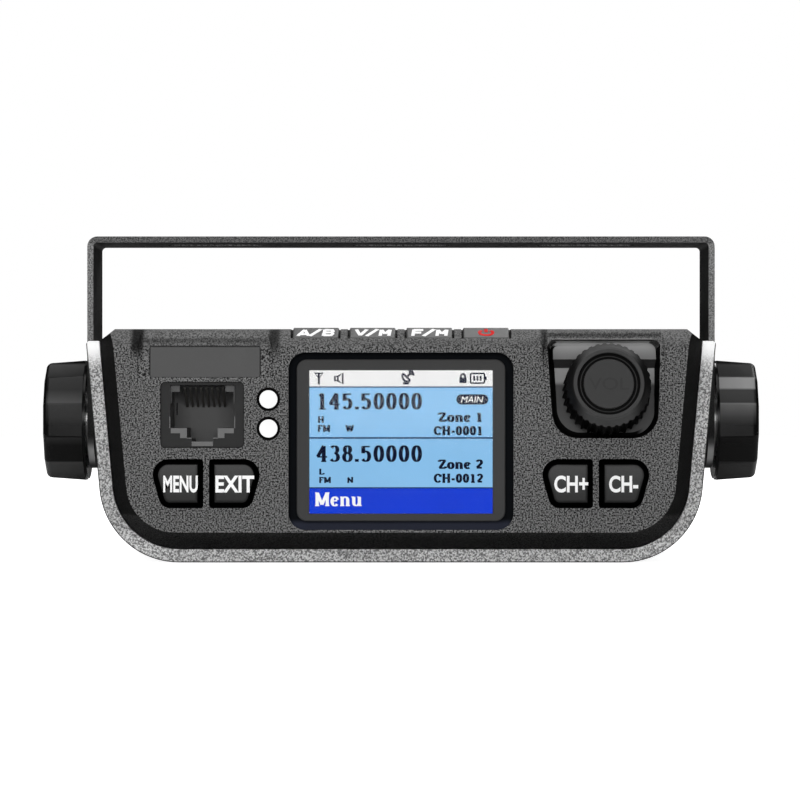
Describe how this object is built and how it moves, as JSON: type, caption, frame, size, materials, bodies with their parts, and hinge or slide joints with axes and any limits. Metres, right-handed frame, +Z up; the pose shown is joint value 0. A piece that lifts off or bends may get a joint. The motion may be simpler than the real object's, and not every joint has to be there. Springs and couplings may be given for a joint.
{
  "type": "mobile transceiver",
  "caption": "Compact mobile two-way radio: cast trough chassis, moulded front panel with colour display, keys and volume knob, held by thumb knobs in a tilting U bracket.",
  "frame": {"origin": "on the chassis underside, mid-width, straight below the bracket pivot axis", "axes": "+X to the right seen from the front, the front panel faces -Y, +Z up"},
  "size_m": [0.1412, 0.1256, 0.0632],
  "materials": {
    "cast_silver": "sand textured casting",
    "cover_black": "fine texture powder coat",
    "bracket_grey": "fine texture powder coat",
    "panel_plastic": "spark textured",
    "key_plastic": "satin",
    "knob_plastic": "satin",
    "jack_plastic": "fine matt",
    "nameplate_grey": "satin",
    "bezel_plastic": "satin",
    "lens_clear": "polished",
    "lcd_glass": "emissive display",
    "white_plastic": "satin",
    "light_pipe": "polished, opal",
    "board_green": "solder mask",
    "steel_bright": "zinc plated",
    "steel_black": "black zinc",
    "tinned_steel": "tin plated",
    "contact_gold": "gold plated",
    "nickel": "nickel plated",
    "ptfe_white": "waxy",
    "black_plastic": "moulded",
    "ferrite": "matt",
    "cone_paper": "pressed pulp",
    "flex_film": "polyimide",
    "rubber_black": "matt"
  },
  "bodies": {
    "radio": {"chassis": "cast_silver", "top_cover": "cover_black", "cover_screws": "steel_black", "front_panel": "panel_plastic", "panel_screws": "steel_black", "nameplate": "nameplate_grey", "display_bezel": "bezel_plastic", "display_lens": "lens_clear", "lcd_panel": "lcd_glass", "lcd_backlight": "white_plastic", "front_board": "board_green", "front_board_screws": "steel_bright", "front_key_switches": "black_plastic", "top_key_switches": "black_plastic", "status_leds": "white_plastic", "upper_light_pipe": "light_pipe", "lower_light_pipe": "light_pipe", "mic_jack": "jack_plastic", "mic_jack_contacts": "contact_gold", "volume_encoder": "tinned_steel", "encoder_nut": "nickel", "encoder_board": "board_green", "main_board": "board_green", "main_board_screws": "steel_bright", "receiver_shield": "tinned_steel", "synthesizer_shield": "tinned_steel", "power_amplifier": "black_plastic", "power_amplifier_screws": "steel_bright", "filter_capacitors": "black_plastic", "board_connectors": "white_plastic", "ribbon_cable": "flex_film", "speaker_frame": "steel_black", "speaker_cone": "cone_paper", "speaker_magnet": "ferrite", "antenna_socket": "nickel", "antenna_insulator": "ptfe_white", "antenna_contact": "contact_gold", "antenna_socket_screws": "steel_bright", "power_socket": "black_plastic", "power_socket_pins": "contact_gold", "speaker_jack": "black_plastic", "rubber_washers": "rubber_black"},
    "bracket": {"bracket": "bracket_grey"},
    "left_washer": {"left_knob_washer": "black_plastic"},
    "left_knob": {"left_knob": "knob_plastic", "left_knob_stud": "steel_bright"},
    "right_washer": {"right_knob_washer": "black_plastic"},
    "right_knob": {"right_knob": "knob_plastic", "right_knob_stud": "steel_bright"},
    "volume_knob": {"volume_knob": "knob_plastic", "volume_knob_cap": "bezel_plastic", "encoder_shaft": "steel_bright"},
    "menu_button": {"menu_button": "key_plastic"},
    "exit_button": {"exit_button": "key_plastic"},
    "channel_up_button": {"channel_up_button": "key_plastic"},
    "channel_down_button": {"channel_down_button": "key_plastic"},
    "band_button": {"band_button": "key_plastic"},
    "mode_button": {"mode_button": "key_plastic"},
    "function_button": {"function_button": "key_plastic"},
    "power_button": {"power_button": "key_plastic"}
  },
  "joints": [
    {"name": "bracket_tilt", "type": "hinge", "parent": "radio", "child": "bracket", "pos_m": [0, 0, 0.027], "axis": [1, 0, 0], "range_deg": [-45, 45]},
    {"name": "left_washer_slide", "type": "slide", "parent": "radio", "child": "left_washer", "axis": [-1, 0, 0], "range_m": [0, 0.0032]},
    {"name": "left_knob_turn", "type": "hinge", "parent": "left_washer", "child": "left_knob", "pos_m": [0, 0, 0.027], "axis": [-1, 0, 0], "range_deg": [0, 1440]},
    {"name": "right_washer_slide", "type": "slide", "parent": "radio", "child": "right_washer", "axis": [1, 0, 0], "range_m": [0, 0.0032]},
    {"name": "right_knob_turn", "type": "hinge", "parent": "right_washer", "child": "right_knob", "pos_m": [0, 0, 0.027], "axis": [1, 0, 0], "range_deg": [0, 1440]},
    {"name": "volume_knob_turn", "type": "hinge", "parent": "radio", "child": "volume_knob", "pos_m": [0.0383, -0.0462, 0.0315], "axis": [0, -0.9848, 0.1736], "continuous": true},
    {"name": "menu_button_press", "type": "slide", "parent": "radio", "child": "menu_button", "axis": [0, 1, 0], "range_m": [0, 0.0005], "stiffness_N_per_m": 400},
    {"name": "exit_button_press", "type": "slide", "parent": "radio", "child": "exit_button", "axis": [0, 1, 0], "range_m": [0, 0.0005], "stiffness_N_per_m": 400},
    {"name": "channel_up_button_press", "type": "slide", "parent": "radio", "child": "channel_up_button", "axis": [0, 1, 0], "range_m": [0, 0.0005], "stiffness_N_per_m": 400},
    {"name": "channel_down_button_press", "type": "slide", "parent": "radio", "child": "channel_down_button", "axis": [0, 1, 0], "range_m": [0, 0.0005], "stiffness_N_per_m": 400},
    {"name": "band_button_press", "type": "slide", "parent": "radio", "child": "band_button", "axis": [0, 0, -1], "range_m": [0, 0.0005], "stiffness_N_per_m": 400},
    {"name": "mode_button_press", "type": "slide", "parent": "radio", "child": "mode_button", "axis": [0, 0, -1], "range_m": [0, 0.0005], "stiffness_N_per_m": 400},
    {"name": "function_button_press", "type": "slide", "parent": "radio", "child": "function_button", "axis": [0, 0, -1], "range_m": [0, 0.0005], "stiffness_N_per_m": 400},
    {"name": "power_button_press", "type": "slide", "parent": "radio", "child": "power_button", "axis": [0, 0, -1], "range_m": [0, 0.0005], "stiffness_N_per_m": 400}
  ],
  "couplings": [
    {"joint": "left_washer_slide", "follows": "left_knob_turn", "m_per_rad": 0.00012732},
    {"joint": "right_washer_slide", "follows": "right_knob_turn", "m_per_rad": 0.00012732}
  ]
}
